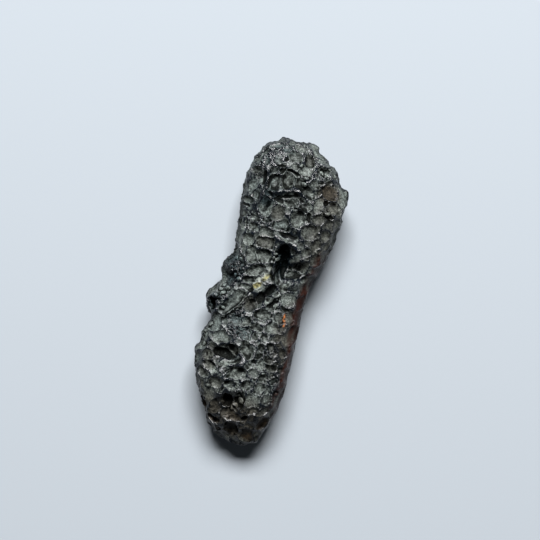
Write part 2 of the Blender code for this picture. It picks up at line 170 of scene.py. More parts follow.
# Knobs that stand out of the edges: centre, then half-sizes
KNOBS = (
    ((1.4, 30.4, 7.6), (1.7, 0.95, 2.0)),
    ((-4.3, 29.9, 7.8), (1.3, 0.95, 1.8)),
    ((10.2, 22.9, 8.6), (1.2, 1.2, 2.0)),
    ((-7.6, 2.9, 7.6), (2.6, 2.4, 4.4)),
    ((-8.1, -3.6, 7.2), (3.6, 3.0, 4.8)),
    ((-8.9, -5.0, 7.0), (2.3, 1.6, 3.6)),
    ((-8.7, -14.4, 7.8), (2.2, 2.0, 3.8)),
    ((5.9, -29.2, 5.2), (1.1, 1.0, 1.6)),
)

# Each row below: X, Y, half-length, half-width, turn from +X in degrees, depth (less than 0 stands up)
# Broad troughs and swells, with round edges
TROUGHS = (
    (2.4, 6.2, 5.0, 2.6, 97, 1.9),
    (1.9, 6.6, 4.2, 1.5, 97, 0.8),
    (0.6, 0.0, 2.4, 1.5, 55, 0.7),
    (-0.8, -1.6, 3.6, 1.4, 48, 0.7),
    (-5.9, -3.8, 4.8, 1.6, 54, 0.7),
    (4.9, 5.2, 3.6, 2.4, 10, 1.2),
    (1.6, 12.3, 2.8, 1.2, -4, 0.7),
    (-0.2, 18.9, 4.6, 1.7, 4, 0.65),
    (3.2, 21.2, 2.6, 1.5, -12, 0.5),
    (-1.6, 22.2, 4.4, 2.4, 6, 0.8),
    (7.6, 21.6, 4.0, 3.2, 8, 0.8),
    (2.0, 28.0, 3.4, 1.9, 104, 0.8),
    (-5.0, -13.5, 4.2, 1.9, 0, 1.4),
    (-1.0, -23.0, 3.4, 2.8, 60, 1.4),
    (1.2, -28.6, 3.2, 2.0, 85, 0.8),
    (-10.0, -5.0, 2.2, 1.7, 80, 0.8),
    (-2.6, -0.6, 3.0, 0.8, 50, -0.4),
    (-4.9, -4.3, 4.6, 0.5, 55, -0.4),
    (1.7, -1.4, 2.8, 0.8, 58, -0.5),
    (0.5, 4.6, 2.8, 0.7, 95, -0.5),
    (5.2, 3.1, 3.4, 1.2, 14, -0.6),
    (-5.2, 18.0, 3.6, 1.6, 85, -0.5),
    (-5.5, 22.0, 2.8, 0.9, 98, -0.5),
    (-1.0, 20.3, 4.4, 1.0, 10, -0.4),
    (2.6, 17.1, 2.2, 0.8, 0, -0.4),
    (-4.5, -17.6, 4.4, 1.2, -12, -0.4),
    (-0.5, -14.8, 3.6, 1.2, 60, -0.4),
)
# Cups with sharp rims
UPPER_CUPS = (
    (-0.8, 29.2, 1.5, 0.9, -10, 0.7),
    (-1.2, 27.3, 1.75, 1.15, -15, 1.0),
    (-5.0, 28.7, 1.5, 0.7, 14, 0.5),
    (-3.3, 28.3, 1.1, 0.9, 0, 0.5),
    (-4.6, 29.8, 0.6, 0.4, 20, 0.6),
    (-7.4, 27.6, 0.8, 0.4, 10, 0.7),
    (-7.3, 26.6, 1.2, 0.7, 20, 0.5),
    (-8.2, 25.2, 1.0, 0.8, 60, 0.5),
    (-6.4, 24.8, 0.9, 0.8, 0, 0.4),
    (1.9, 27.6, 1.9, 0.9, 100, 0.7),
    (3.7, 28.2, 1.5, 0.8, 140, 0.4),
    (4.9, 25.9, 1.5, 1.1, 0, 1.0),
    (7.4, 26.0, 1.4, 0.75, 105, 0.5),
    (6.8, 24.3, 1.3, 0.6, -6, 0.6),
    (-4.2, 25.6, 1.0, 0.7, 0, 0.4),
    (-2.5, 26.4, 0.6, 0.4, 20, 0.6),
    (-0.7, 25.3, 0.9, 0.7, 0, 0.4),
    (0.9, 25.6, 0.8, 0.6, 60, 0.5),
    (-3.2, 24.9, 1.0, 0.4, 10, 0.7),
    (-4.2, 23.7, 0.9, 0.8, 0, 0.6),
    (-2.6, 23.9, 0.95, 0.75, 50, 0.7),
    (-3.9, 21.2, 1.75, 1.25, 87, 0.9),
    (-1.3, 22.3, 1.7, 1.4, 80, 1.0),
    (1.0, 22.6, 1.3, 1.1, 60, 0.9),
    (-0.2, 23.9, 1.9, 0.5, -3, 0.8),
    (3.2, 21.1, 2.0, 1.1, -8, 0.6),
    (4.0, 21.8, 1.2, 0.5, -25, 0.4),
    (4.2, 23.0, 1.1, 0.9, 30, 0.7),
    (2.4, 24.0, 0.8, 0.6, 0, 0.5),
    (5.2, 23.8, 0.8, 0.4, 20, 0.6),
    (-2.6, 18.3, 1.6, 0.5, 28, 0.35),
    (0.0, 19.3, 1.7, 0.45, 6, 0.3),
    (2.8, 18.7, 1.5, 0.45, -24, 0.3),
    (-2.0, 18.1, 1.0, 0.7, 0, 0.5),
    (0.3, 18.2, 1.5, 1.1, 20, 0.5),
    (3.4, 18.3, 1.4, 1.0, 10, 0.6),
    (7.6, 22.3, 2.5, 1.7, 8, 0.7),
    (9.1, 19.4, 1.9, 1.3, 6, 0.9),
    (5.8, 19.3, 2.2, 1.05, 86, 0.6),
    (7.1, 20.1, 0.7, 0.5, 0, 0.8),
    (-8.0, 22.8, 1.3, 0.8, 10, 0.7),
    (-7.0, 21.6, 0.8, 0.6, 30, 0.6),
    (-8.1, 19.8, 1.8, 1.3, 30, 0.6),
    (-7.0, 18.0, 1.0, 0.8, 0, 0.5),
    (-8.3, 16.7, 1.3, 0.75, 8, 0.6),
    (-8.2, 15.6, 1.2, 0.4, 0, 0.5),
    (2.5, 15.4, 1.9, 1.6, 75, 1.1),
    (2.6, 16.9, 1.6, 0.4, 0, 0.7),
    (4.7, 16.3, 0.9, 0.4, 100, 0.8),
    (-1.6, 15.5, 1.75, 1.3, 72, 0.8),
    (6.4, 16.3, 1.3, 1.0, 10, 0.6),
    (8.3, 17.6, 1.3, 0.4, -5, 0.7),
    (8.9, 16.2, 1.1, 0.9, 0, 0.6),
    (10.3, 16.4, 0.8, 1.4, 0, 0.4),
    (5.4, 13.5, 1.65, 1.5, 20, 0.8),
    (8.8, 13.7, 1.4, 1.2, 80, 0.6),
    (7.2, 11.3, 1.3, 0.9, 80, 0.6),
    (9.4, 11.5, 0.9, 0.9, 0, 0.4),
    (-5.8, 13.6, 1.0, 0.9, 0, 0.5),
    (-8.2, 13.6, 1.0, 0.9, 0, 0.5),
    (-3.4, 13.8, 1.1, 0.8, 20, 0.5),
    (-9.1, 15.0, 0.8, 0.5, 85, 0.4),
    (-9.4, 18.2, 0.8, 0.5, 85, 0.35),
    (-9.6, 21.3, 0.7, 0.5, 85, 0.35),
)
WAIST_CUPS = (
    (1.2, 11.8, 2.0, 0.55, -6, 0.4),
    (1.6, 11.2, 2.6, 0.8, -8, 0.4),
    (-2.8, 11.3, 1.7, 1.0, -6, 0.8),
    (-7.3, 11.8, 1.0, 0.45, 115, 1.1),
    (-5.8, 11.9, 0.9, 0.8, 0, 0.6),
    (-6.1, 9.1, 1.5, 1.25, 15, 0.8),
    (-2.6, 9.5, 1.95, 1.2, 3, 0.9),
    (-4.6, 6.5, 1.9, 1.2, 105, 0.9),
    (-2.2, 6.9, 1.6, 1.35, 20, 1.1),
    (1.8, 7.6, 2.4, 1.0, 93, 0.6),
    (2.6, 5.2, 1.9, 0.6, 100, 0.6),
    (1.6, 3.4, 1.5, 0.8, 85, 0.5),
    (4.3, 8.2, 1.3, 0.9, 70, 0.3),
    (6.2, 6.6, 1.5, 1.2, 60, 0.7),
    (4.7, 6.0, 0.8, 0.4, 80, 0.5),
    (7.9, 8.7, 1.4, 0.95, 85, 0.6),
    (5.6, 9.4, 1.2, 0.9, 40, 0.5),
    (8.3, 10.4, 0.6, 0.5, 0, 0.3),
    (4.6, 4.5, 1.9, 0.7, 12, 0.5),
    (5.2, 2.3, 1.9, 0.5, 14, 0.2),
    (-0.1, 4.6, 1.6, 0.5, 93, 0.2),
    (-3.1, 3.7, 2.2, 1.0, 30, 0.9),
    (-3.7, 1.6, 1.5, 0.85, 22, 0.7),
    (-4.0, -0.1, 1.6, 0.65, 8, 0.5),
    (-6.0, 2.6, 0.8, 0.7, 0, 0.4),
    (-6.9, 4.1, 1.5, 0.32, 75, 0.35),
    (-7.6, 3.1, 2.0, 0.35, 82, 0.4),
    (-8.3, 3.9, 1.2, 0.3, 78, 0.35),
    (-8.4, 1.6, 1.3, 0.35, 84, 0.4),
    (-7.4, 0.4, 0.9, 0.4, 30, 0.35),
    (-9.0, 2.7, 0.9, 0.3, 88, 0.3),
    (0.8, 0.4, 1.5, 0.9, 55, 0.45),
    (-0.6, -1.3, 1.5, 0.9, 55, 0.5),
    (-2.3, -3.2, 1.5, 1.1, 48, 0.5),
    (-5.9, -3.7, 4.1, 1.15, 54, 0.6),
    (-6.6, -2.2, 1.1, 0.8, 50, 0.5),
    (-4.5, -4.1, 3.5, 0.25, 58, 0.3),
    (4.8, -0.1, 1.9, 1.6, 20, 0.6),
    (4.9, -2.3, 1.2, 0.5, -20, 0.6),
    (0.7, -4.4, 2.05, 1.0, 4, 0.9),
    (4.2, -4.3, 1.1, 1.0, 0, 0.6),
    (-2.0, -6.3, 1.15, 0.95, -25, 0.6),
    (0.4, -7.1, 1.6, 0.85, -5, 0.7),
    (3.6, -6.5, 1.4, 1.1, -15, 0.6),
    (6.5, -6.6, 1.1, 0.6, 80, 0.5),
    (-10.1, -5.0, 1.5, 1.1, 85, 1.4),
    (-9.0, -3.9, 0.9, 0.4, 20, 0.8),
    (-8.5, 12.0, 0.7, 0.5, 80, 0.35),
    (-8.3, 9.8, 0.8, 0.5, 80, 0.4),
    (-7.9, 7.6, 0.7, 0.45, 80, 0.35),
)
LOWER_CUPS = (
    (5.1, -8.1, 0.95, 0.8, 0, 0.6),
    (2.5, -8.6, 0.85, 0.75, 0, 0.5),
    (0.6, -8.9, 0.75, 0.75, 0, 0.5),
    (2.1, -10.8, 0.85, 0.8, 0, 0.6),
    (4.2, -10.3, 0.9, 0.8, 0, 0.5),
    (6.6, -10.8, 1.0, 0.9, 40, 0.5),
    (4.1, -12.4, 0.9, 0.8, 0, 0.6),
    (2.2, -12.5, 0.8, 0.7, 0, 0.6),
    (1.5, -13.8, 0.6, 0.5, 0, 0.5),
    (5.4, -14.1, 1.1, 0.9, 0, 0.7),
    (7.3, -14.2, 0.9, 0.8, 0, 0.5),
    (-6.0, -10.9, 2.0, 1.35, 6, 0.8),
    (-9.0, -11.2, 0.8, 1.3, 0, 0.4),
    (-0.4, -11.8, 2.0, 1.1, 118, 1.0),
    (-3.0, -12.5, 1.4, 0.9, 0, 0.7),
    (-5.0, -13.6, 2.7, 0.75, -6, 0.9),
    (-3.4, -15.1, 2.6, 0.95, 22, 0.6),
    (-8.0, -14.7, 1.15, 1.1, 0, 1.1),
    (-6.3, -16.9, 2.1, 0.95, -27, 0.9),
    (-8.2, -18.3, 1.5, 0.9, -22, 0.8),
    (-1.0, -16.8, 2.1, 1.1, 12, 0.9),
    (2.2, -15.8, 1.4, 1.0, 10, 0.5),
    (4.4, -16.5, 1.0, 0.95, 0, 0.7),
    (6.6, -16.4, 1.0, 0.8, 40, 0.5),
    (1.4, -18.8, 1.2, 0.9, 82, 0.7),
    (-0.6, -19.1, 0.8, 0.6, 0, 0.5),
    (4.1, -18.7, 1.4, 1.0, 80, 0.6),
    (6.1, -20.4, 1.2, 0.9, 60, 0.5),
    (-4.7, -19.8, 1.5, 1.15, 5, 0.8),
    (-7.1, -21.0, 1.2, 0.7, 110, 0.5),
    (-2.8, -20.8, 1.1, 0.5, 60, 0.4),
    (-1.6, -22.8, 1.7, 1.1, 83, 1.0),
    (1.0, -22.0, 1.7, 1.15, 92, 0.9),
    (-3.6, -24.4, 1.7, 0.95, 92, 0.9),
    (-5.8, -24.3, 1.2, 0.85, 120, 0.8),
    (0.1, -25.4, 2.3, 1.3, 2, 0.8),
    (3.0, -25.4, 0.85, 0.8, 0, 0.7),
    (4.1, -23.4, 1.3, 1.0, 30, 0.5),
    (6.6, -25.5, 1.9, 1.1, 78, 0.8),
    (6.3, -22.6, 1.2, 0.9, 60, 0.5),
    (-3.0, -27.1, 1.7, 0.95, -22, 1.0),
    (-1.7, -28.8, 0.9, 0.7, 0, 0.5),
    (0.9, -28.5, 2.0, 1.4, 92, 0.7),
    (4.0, -28.6, 2.0, 1.55, 76, 0.9),
    (6.3, -28.6, 0.9, 0.5, 80, 0.5),
    (-8.3, -9.4, 0.8, 0.55, 60, 0.4),
    (-9.3, -11.8, 0.6, 0.45, 80, 0.35),
    (-9.8, -15.0, 0.7, 0.5, 80, 0.4),
    (-9.3, -17.2, 0.8, 0.5, 80, 0.4),
    (-0.4, -30.2, 1.0, 0.55, -20, 0.45),
    (1.9, -30.5, 1.1, 0.6, 5, 0.5),
    (4.0, -30.5, 0.9, 0.55, 0, 0.45),
    (5.6, -30.1, 0.8, 0.5, 30, 0.4),
)
# Beads of melt that stand on the skin
BEADS = (
    (0.1, 7.8, 0.6, 0.45, 20, -0.45),
    (0.6, 6.6, 0.6, 0.5, 0, -0.5),
    (1.2, 7.1, 0.45, 0.4, 0, -0.4),
    (-0.3, 6.9, 0.5, 0.4, 60, -0.4),
    (4.7, 25.7, 0.6, 0.5, 0, -0.4),
    (0.4, 25.9, 0.6, 0.45, 60, -0.35),
    (2.3, 23.6, 0.6, 0.5, 0, -0.4),
    (2.0, 22.3, 0.6, 0.45, 0, -0.35),
    (8.0, 18.0, 0.8, 0.5, 0, -0.4),
    (-9.7, -3.0, 0.7, 0.6, 20, -0.5),
    (-8.4, -2.3, 0.65, 0.55, 0, -0.5),
    (-7.5, -1.1, 0.6, 0.5, 0, -0.35),
    (-7.6, -5.1, 0.5, 0.4, 0, -0.3),
    (-4.8, -3.9, 3.5, 0.2, 58, -0.25),
    (-5.8, 1.1, 0.7, 0.6, 0, -0.35),
    (-6.5, 5.3, 0.55, 0.45, 0, -0.35),
    (-7.8, 5.2, 0.5, 0.4, 0, -0.3),
    (-6.9, 1.5, 0.5, 0.4, 0, -0.3),
    (2.6, -0.2, 0.8, 0.35, 55, -0.35),
    (1.6, -1.9, 0.8, 0.45, 60, -0.4),
    (2.8, -2.1, 0.6, 0.5, 40, -0.35),
    (-1.8, -28.7, 0.5, 0.4, 0, -0.4),
    (-8.9, -8.5, 0.5, 0.4, 0, -0.3),
    (-9.3, -10.4, 0.5, 0.4, 0, -0.3),
    (-9.2, -12.8, 0.5, 0.4, 0, -0.3),
    (-8.4, -0.4, 0.5, 0.4, 0, -0.3),
    (-9.0, -1.4, 0.5, 0.45, 0, -0.3),
    (0.2, -23.3, 0.6, 0.5, 0, -0.4),
    (0.9, -22.3, 0.55, 0.5, 0, -0.35),
    (0.3, -21.6, 0.45, 0.4, 0, -0.3),
    (-0.4, -24.2, 0.45, 0.4, 0, -0.3),
    (7.9, -18.8, 0.6, 0.5, 0, -0.35),
    (-5.9, -20.7, 0.6, 0.5, 0, -0.3),
)

# Zones: each row is like the ones above, with a weight from 0 to 1 in place of a depth
# Where the skin is grainy
GRAINY = (
    (-4.6, -5.3, 2.2, 1.9, 50, 1.0),
    (-2.6, -8.6, 3.4, 1.8, 5, 1.0),
    (-8.6, -9.6, 1.6, 1.6, 0, 0.8),
    (4.4, -14.0, 4.4, 5.6, 0, 0.6),
    (-8.0, 24.6, 2.2, 3.2, 10, 0.7),
    (-5.0, 27.6, 2.8, 1.8, 30, 0.6),
    (4.6, 25.6, 2.6, 2.0, 0, 0.9),
    (-4.4, 13.6, 4.0, 1.8, 0, 0.8),
    (1.6, 17.8, 3.2, 1.0, 0, 0.6),
    (-7.6, 2.6, 2.8, 4.4, 0, 1.0),
    (-8.8, -3.0, 2.0, 1.6, 0, 0.6),
    (1.4, -19.6, 4.4, 1.4, 6, 0.8),
    (7.0, -18.5, 1.8, 3.6, 0, 0.8),
    (2.6, -2.2, 2.4, 1.6, 40, 0.9),
    (4.2, -23.0, 1.8, 1.8, 0, 0.6),
)
GRAIN_ELSEWHERE = 0.25
# Where the skin is painted a darker brown grey: partly a brown patina in some cups, partly a painted warm reflection
# down the right side and at the lower end, with painted shade toward the lower end, which faces away from the light
BROWN_PATINA_AND_PAINTED_LIGHT = (
    (8.4, 14.0, 4.4, 10.0, 0, 0.55),
    (6.8, -8.0, 3.4, 10.0, 0, 0.7),
    (0.5, -26.5, 11.0, 7.0, 0, 0.8),
    (7.6, 22.0, 3.4, 2.8, 0, 0.9),
    (9.0, 19.3, 2.4, 1.8, 0, 0.6),
    (5.8, 19.2, 1.4, 2.6, 0, 0.2),
    (7.4, 16.0, 3.2, 2.0, 0, 0.45),
    (5.6, 13.3, 2.2, 2.0, 0, 0.3),
    (8.8, 12.4, 2.0, 3.2, 0, 0.35),
    (7.4, 8.6, 2.2, 2.4, 0, 0.5),
    (5.4, 6.8, 2.4, 1.8, 0, 0.5),
    (-7.6, 22.4, 2.0, 1.4, 0, 0.4),
    (-1.6, 15.4, 1.6, 2.0, 0, 0.5),
    (1.9, 28.2, 1.4, 2.2, 0, 0.4),
    (-2.8, 9.6, 2.4, 1.6, 0, 0.5),
    (-2.6, -2.6, 2.0, 1.6, 45, 0.6),
    (-3.0, -12.5, 1.8, 1.2, 0, 0.4),
    (-7.8, -15.6, 2.6, 4.6, -10, 0.5),
    (-4.6, -19.8, 2.4, 1.8, 0, 0.4),
    (-5.8, -24.3, 1.6, 1.8, 60, 1.0),
    (-3.0, -27.1, 2.4, 1.5, -20, 1.0),
    (1.2, -28.6, 2.4, 2.8, 0, 0.9),
    (4.4, -28.4, 2.4, 2.6, 0, 1.0),
    (6.7, -25.6, 1.8, 2.8, 0, 1.0),
    (0.8, -25.6, 3.4, 2.0, 0, 0.9),
    (7.4, -21.6, 1.6, 3.2, 0, 0.6),
    (-8.2, -21.0, 4.0, 2.0, 115, 0.8),
    (-5.6, -26.0, 3.6, 1.8, 125, 1.0),
)
# Where the skin is smoother, and its colour is painted darker and bluish: painted shade in the gouge and under the
# ledges, and a painted bluish reflection of the sky on the smooth spots and down the left side
GLOSSY_AND_SHADED = (
    (-6.5, 21.0, 4.0, 10.0, 0, 0.35),
    (-7.5, -3.0, 3.4, 10.0, 0, 0.3),
    (1.9, 6.6, 4.2, 1.5, 97, 1.0),
    (0.6, 0.2, 1.8, 1.2, 55, 0.3),
    (-4.6, 18.2, 2.2, 2.6, 0, 1.0),
    (-5.6, 22.0, 3.2, 0.9, 97, 1.0),
    (-1.2, 20.3, 3.6, 0.7, 10, 0.9),
    (-4.0, 28.6, 3.0, 1.4, -20, 0.7),
    (-5.8, 25.9, 1.8, 1.9, 0, 0.8),
    (-7.3, 2.4, 2.4, 3.8, 0, 1.0),
    (-10.0, -4.6, 1.8, 2.8, 0, 0.9),
    (-3.9, -6.0, 2.4, 1.5, 50, 0.8),
    (-2.8, -8.7, 3.2, 1.9, 0, 0.8),
    (-9.4, -16.0, 1.2, 3.4, 0, 0.6),
    (7.4, -16.8, 1.6, 4.2, 0, 0.5),
    (-2.0, 13.4, 3.6, 1.4, 0, 0.4),
    (-5.6, 15.0, 3.0, 1.4, 0, 0.3),
)
# Painted shade: where the skin is darkened almost to black, in deep hollows and slots that lie in shade
PAINTED_SHADE_ZONES = (
    (-9.8, -5.0, 1.4, 1.8, 0, 1.2),
    (2.6, 5.6, 3.4, 1.4, 95, 0.3),
    (0.0, -0.6, 2.2, 1.0, 55, 0.6),
    (-4.6, -12.6, 3.2, 1.3, -3, 0.8),
    (-0.7, -22.2, 2.0, 1.2, 0, 0.6),
    (5.0, 26.0, 1.4, 1.2, 0, 0.6),
)
# Streaks of another colour in the glass
TAN_FLECKS = (
    (-1.1, 2.7, 1.1, 0.5, 52, 1.0),
    (-2.2, 1.0, 0.9, 0.45, 35, 1.0),
)
PALE_FLECKS = (
    (-1.8, 2.6, 2.4, 0.5, 58, 1.0),
    (-0.6, 4.3, 1.1, 0.35, 66, 0.7),
)
ORANGE_FLECKS = (
    (5.45, -3.8, 0.9, 0.28, 105, 1.0),
    (5.5, -5.0, 0.4, 0.22, 90, 0.7),
)
# Not a streak in the glass: the right flank's dark brown is painted light, a warm reflection in shade
FLANK_WARM_REFLECTION_AND_SHADE = (
    (7.6, -1.5, 1.7, 8.5, 0, 1.0),
    (8.4, -14.0, 1.4, 9.0, 0, 0.9),
    (8.8, 7.0, 1.2, 4.0, 0, 0.8),
)

# Fine folds: span, then depth
FOLDS = ((1.5, 0.12), (0.75, 0.08), (0.42, 0.05))

# Cups scattered over the rest of the stone, broadest first
SCATTER_SEED = 11
SCATTER_RADII = (2.2, 1.9, 1.6, 1.35, 1.15, 0.95)
SCATTER_TRIES = 700  # for each radius
SCATTER_OVERLAP = 0.76  # least distance of two centres, as a share of their radii together
PLACED_OVERLAP = 0.8  # the same against a cup that has its own place
LEAST_KEPT_CLEAR = 0.65  # a placed cup narrower than this isn't kept clear
SQUARER = (1.8, 2.6)  # how square a scattered cup's outline is: 2 is an ellipse
CUP_DEPTH_SHARE = (0.34, 0.52)  # a scattered cup's depth over its radius
FLANK_DEPTH_SHARE = 0.55  # how much of that is left on the smooth flank
FLANK_FACING = 0.72  # the flank's normals have at least this X
FLANK_END = 10.0  # and it ends here along Y
BACK_DEPTH_SHARE = 0.7  # how much is left on the back, which the ground has worn
EDGE_CALM = 0.35  # how much shallower the cups are round the sides

# Small cups between and inside the others
SMALL_SEED = 23
SMALL_RADII = (0.85, 0.7, 0.58, 0.48)
SMALL_TRIES = 5200
SMALL_OVERLAP = 0.8
SMALL_DEPTH_SHARE = (0.26, 0.44)

# The outlines of the cups wander by this much, over this distance
WANDER = ((0.45, 2.6), (0.16, 0.9))

ROUND_EDGE = 1.8  # the power that rounds a trough's edges
CUP_WALL = 0.7  # below 1 a cup has a flat floor and steep walls
SMALL_WALL = 1.0
ZONE_EDGE = 1.3  # how sharply a zone ends
FLOOR_DEPTH = 0.42  # how far below a rim the skin is as grey as a cup's floor
SMALL_FLOOR_DEPTH = 0.14
BEAD_HIGHLIGHT = 1.5  # how much paler than the crests the beads are painted, as a painted highlight
SIDE_FACING = (0.15, 0.7)  # the skin is painted darker round the sides as shade, where its normals have less Z than the first
CREVICE_ROUNDS = 12  # of averaging
CREVICE_DEPTH = 0.06  # how deep in the skin round it a crevice is painted black, as painted shade
# Painted shade in deep basins: rounds of averaging, and the depth in millimetres that counts as one
BASIN_ROUNDS = 120
BASIN_DEPTH = 1.2
CUP_CALM = 0.85  # how much of the fine relief is gone from the cups' floors
FLANK_CALM = 0.6  # the same for the smooth flank
GLOSSY_CALM = 0.5  # the same for the glossy zones

FORM_SMOOTHING = 0.58  # square millimetres that the knobs' joins are smoothed over
WORN_DEPTH = 0.5  # how much of the back's high spots is worn flat

STATIONS, LEFTS, RIGHTS = np.array(OUTLINE).T
HEIGHT_STATIONS, CRESTS, BELLIES = np.array(PROFILE).T
MID_STATION = (STATIONS[0] + STATIONS[-1]) / 2
HALF_SPAN = (STATIONS[-1] - STATIONS[0]) / 2


def latitude_of(station):
    return np.arcsin(np.clip((station - MID_STATION) / HALF_SPAN, -1, 1))


def on_form(latitude, angle):
    """The point of the unpitted form at a latitude along Y and an angle round Y."""
    left = np.interp(latitude, latitude_of(STATIONS), LEFTS)
    right = np.interp(latitude, latitude_of(STATIONS), RIGHTS)
    crest = np.interp(latitude, latitude_of(HEIGHT_STATIONS), CRESTS)
    belly = np.interp(latitude, latitude_of(HEIGHT_STATIONS), BELLIES)
    level = belly + WIDEST_LEVEL * (crest - belly)
    across, upward = np.cos(angle), np.sin(angle)
    power = 2 / SQUARENESS
    x = (left + right) / 2 + (right - left) / 2 * np.sign(across) * np.abs(across) ** power
    height = np.where(upward > 0, crest - level, level - belly)
    z = level + height * np.sign(upward) * np.abs(upward) ** power
    return np.stack([x, MID_STATION + HALF_SPAN * np.sin(latitude), z], axis=-1)


def finished(obj):
    """The object's mesh with its modifiers applied. The object goes."""
    graph = bpy.context.evaluated_depsgraph_get()
    mesh = bpy.data.meshes.new_from_object(obj.evaluated_get(graph), depsgraph=graph)
    bpy.data.objects.remove(obj)
    return mesh


def in_scene(name, mesh):
    obj = bpy.data.objects.new(name, mesh)
    bpy.context.scene.collection.objects.link(obj)
    return obj


def make_form(voxel):
    """The unpitted lump: a sphere moved onto the sections, with the knobs on its edges, in one even mesh."""
    bm = bmesh.new()
    bmesh.ops.create_icosphere(bm, subdivisions=6, radius=1)
    ball = np.array([v.co for v in bm.verts])
    spots = on_form(np.arcsin(np.clip(ball[:, 1], -1, 1)), np.arctan2(ball[:, 2], ball[:, 0]))
    for v, spot in zip(bm.verts, spots):
        v.co = spot
    for centre, half_sizes in KNOBS:
        place = Matrix.LocRotScale(Vector(centre), Euler((0, 0, 0)), Vector(half_sizes))
        bmesh.ops.create_icosphere(bm, subdivisions=4, radius=1, matrix=place)
    mesh = bpy.data.meshes.new("form")
    bm.to_mesh(mesh)
    bm.free()
    form = in_scene("form", mesh)
    remesh = form.modifiers.new("one_skin", "REMESH")
    remesh.mode = "VOXEL"
    remesh.voxel_size = voxel
    smooth = form.modifiers.new("soft_joins", "SMOOTH")
    smooth.iterations = round(FORM_SMOOTHING / voxel**2)
    return finished(form)


class Cup:
    """A bowl in the skin: its centre, the directions of its length and width, its sizes and how square it is."""

    def __init__(self, centre, normal, heading, half_length, half_width, depth, square=2.2):
        self.centre = centre
        self.along = (heading - heading.dot(normal) * normal).normalized()
        self.across = normal.cross(self.along)
        self.half_length, self.half_width, self.depth = half_length, half_width, depth
        self.square = square


